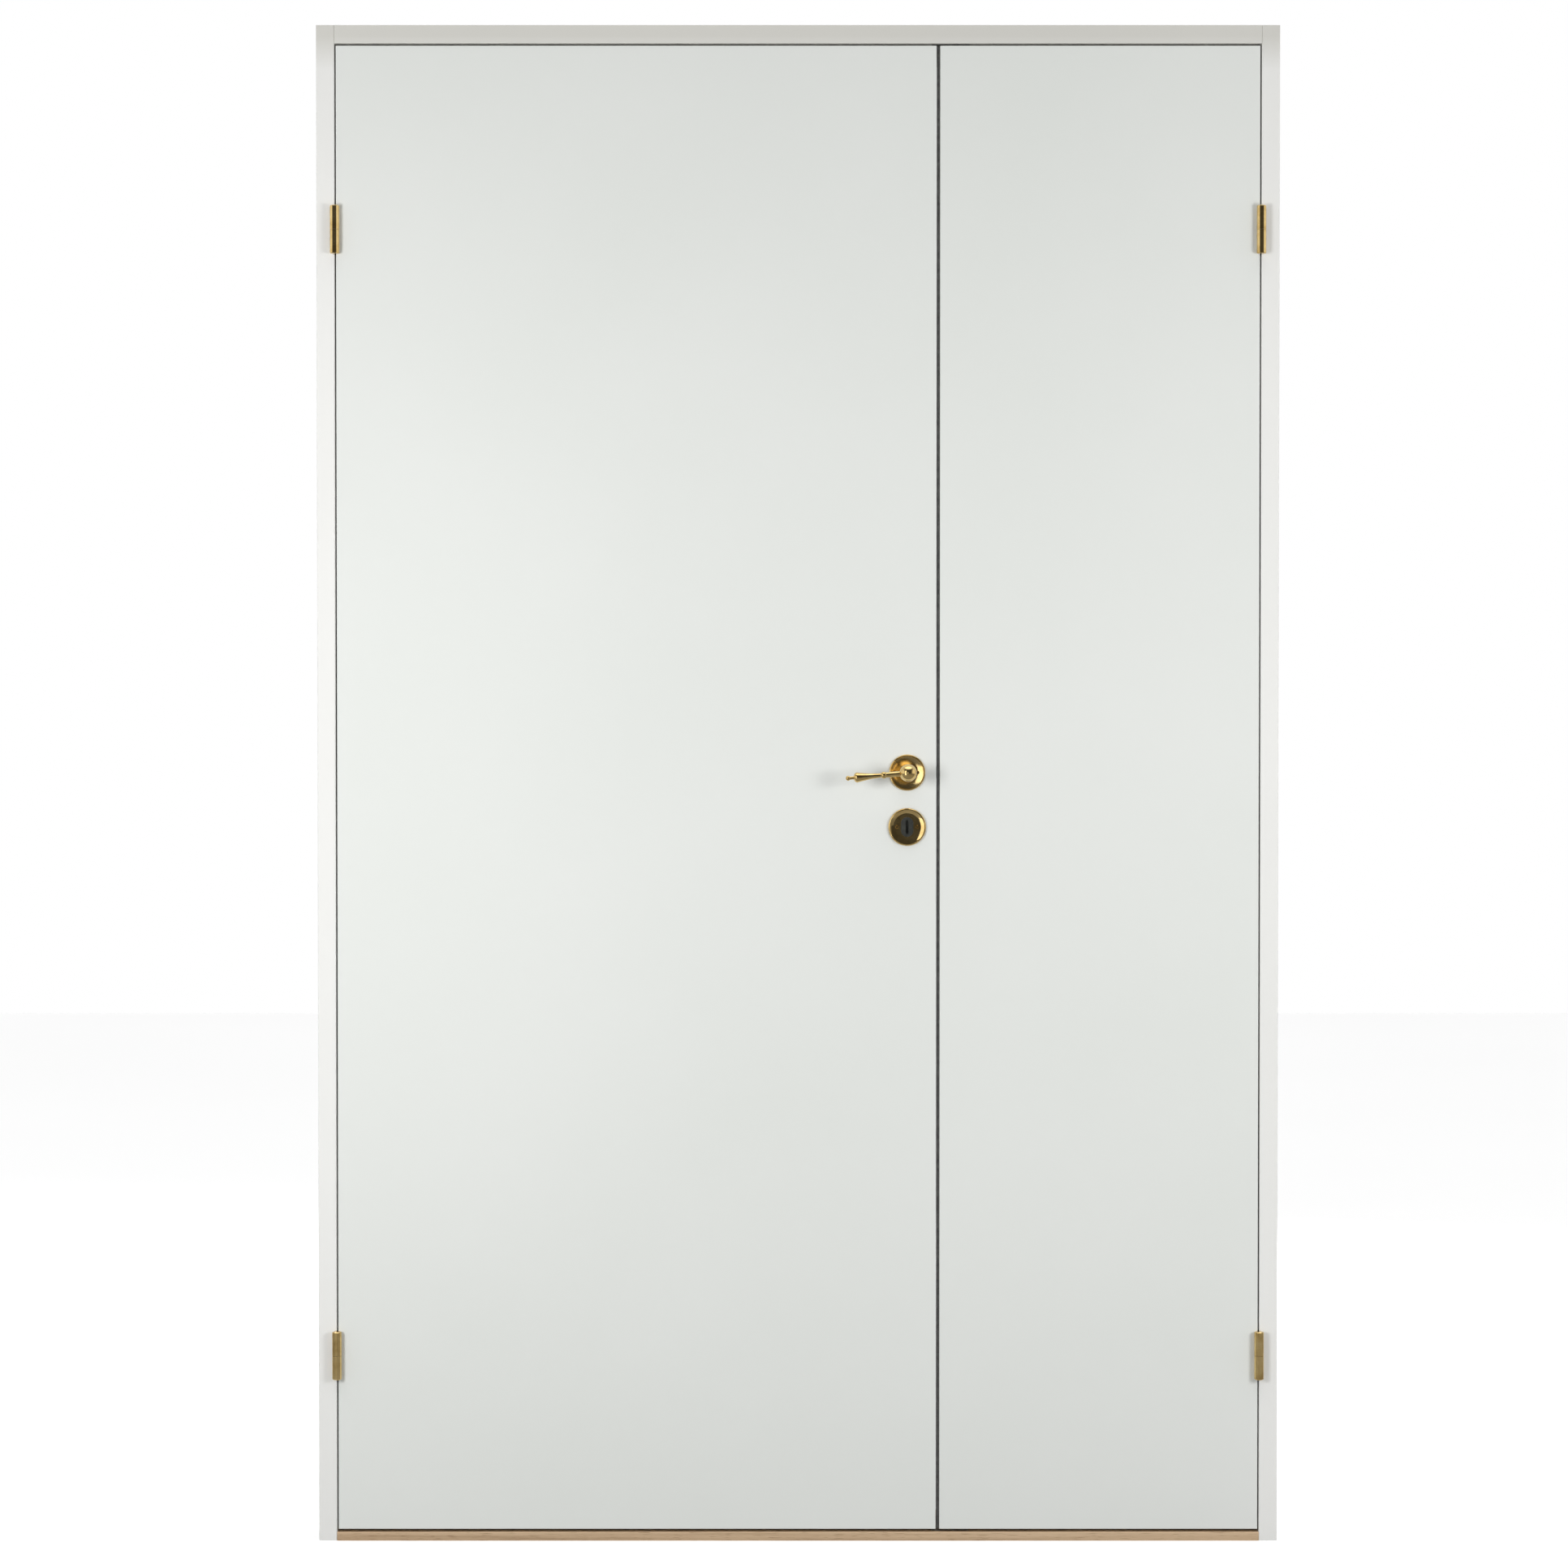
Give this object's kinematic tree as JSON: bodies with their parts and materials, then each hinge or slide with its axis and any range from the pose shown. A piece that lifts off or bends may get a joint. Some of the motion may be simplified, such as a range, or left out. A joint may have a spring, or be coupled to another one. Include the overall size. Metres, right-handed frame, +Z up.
{
  "type": "interior double door",
  "caption": "Flush interior double door of unequal leaves in a slim rebated frame, with lever, lock, flush bolts, lift-off hinges and an oak threshold.",
  "frame": {"origin": "on the floor, under the middle of the threshold", "axes": "+Z up, -Y out of the front, where the hinge knuckles and the leaves' flush faces are, +X to the right"},
  "size_m": [1.325, 0.152, 2.09],
  "materials": {
    "white_paint": "satin white paint",
    "oak": "lacquered oak",
    "leaf_timber": "satin white paint",
    "honeycomb": "raw",
    "grey_rubber": "matte",
    "polished_brass": "polished",
    "lock_steel": "zinc plated"
  },
  "bodies": {
    "frame": {"active_top_hinge_frame_half": "polished_brass", "active_bottom_hinge_frame_half": "polished_brass", "passive_top_hinge_frame_half": "polished_brass", "passive_bottom_hinge_frame_half": "polished_brass", "left_jamb": "white_paint", "right_jamb": "white_paint", "frame_head": "white_paint", "threshold": "oak", "left_stop_seal": "grey_rubber", "right_stop_seal": "grey_rubber", "head_stop_seal": "grey_rubber", "hinge_pins": "lock_steel", "frame_hinge_screws": "polished_brass", "frame_corner_screws": "lock_steel", "head_bolt_keep": "lock_steel", "threshold_bolt_keep": "lock_steel", "bolt_keep_screws": "lock_steel"},
    "active_leaf": {"active_front_skin": "white_paint", "active_back_skin": "white_paint", "active_leaf_frame": "leaf_timber", "active_core": "honeycomb", "active_hinge_screws": "polished_brass", "active_top_hinge_leaf_half": "polished_brass", "active_bottom_hinge_leaf_half": "polished_brass", "lock_case": "lock_steel", "lock_cover": "lock_steel", "lock_forend": "lock_steel", "forend_screws": "lock_steel", "front_rose": "polished_brass", "back_rose": "polished_brass", "rose_screws": "polished_brass", "front_key_plate": "polished_brass", "back_key_plate": "polished_brass", "key_plate_screws": "polished_brass", "latch_spring": "lock_steel", "front_key_liner": "lock_steel", "back_key_liner": "lock_steel", "key_ward": "lock_steel"},
    "passive_leaf": {"passive_front_skin": "white_paint", "passive_back_skin": "white_paint", "passive_leaf_frame": "leaf_timber", "passive_core": "honeycomb", "passive_hinge_screws": "polished_brass", "passive_top_hinge_leaf_half": "polished_brass", "passive_bottom_hinge_leaf_half": "polished_brass", "meeting_seal": "grey_rubber", "strike_plate": "lock_steel", "strike_screws": "lock_steel", "top_flush_bolt_plate": "lock_steel", "bottom_flush_bolt_plate": "lock_steel", "flush_bolt_screws": "lock_steel"},
    "lever_set": {"front_lever": "polished_brass", "back_lever": "polished_brass", "handle_spindle": "lock_steel", "lock_follower": "lock_steel", "lever_grub_screws": "lock_steel"},
    "latch": {"latch_bolt": "lock_steel"},
    "lock_bolt": {"dead_bolt": "lock_steel"},
    "upper_flush_bolt": {"top_flush_bolt": "lock_steel"},
    "lower_flush_bolt": {"bottom_flush_bolt": "lock_steel"}
  },
  "joints": [
    {"name": "active_swing", "type": "hinge", "parent": "frame", "child": "active_leaf", "pos_m": [-0.6365, -0.0528, 1], "axis": [0, 0, -1], "range_deg": [0, 170]},
    {"name": "passive_swing", "type": "hinge", "parent": "frame", "child": "passive_leaf", "pos_m": [0.6365, -0.0528, 1], "axis": [0, 0, 1], "range_deg": [0, 170]},
    {"name": "lever_turn", "type": "hinge", "parent": "active_leaf", "child": "lever_set", "pos_m": [0.1505, -0.026, 1.063], "axis": [0, -1, 0], "range_deg": [0, 40], "stiffness_Nm_per_rad": 1.5, "springref_deg": -17.19},
    {"name": "latch_slide", "type": "slide", "parent": "active_leaf", "child": "latch", "axis": [-1, 0, 0], "range_m": [0, 0.012], "deforming": ["latch_spring"]},
    {"name": "lock_bolt_slide", "type": "slide", "parent": "active_leaf", "child": "lock_bolt", "axis": [1, 0, 0], "range_m": [0, 0.018]},
    {"name": "upper_bolt_slide", "type": "slide", "parent": "passive_leaf", "child": "upper_flush_bolt", "axis": [0, 0, 1], "range_m": [0, 0.015]},
    {"name": "lower_bolt_slide", "type": "slide", "parent": "passive_leaf", "child": "lower_flush_bolt", "axis": [0, 0, -1], "range_m": [0, 0.015]}
  ],
  "couplings": [
    {"joint": "latch_slide", "follows": "lever_turn", "m_per_rad": 0.017188}
  ]
}
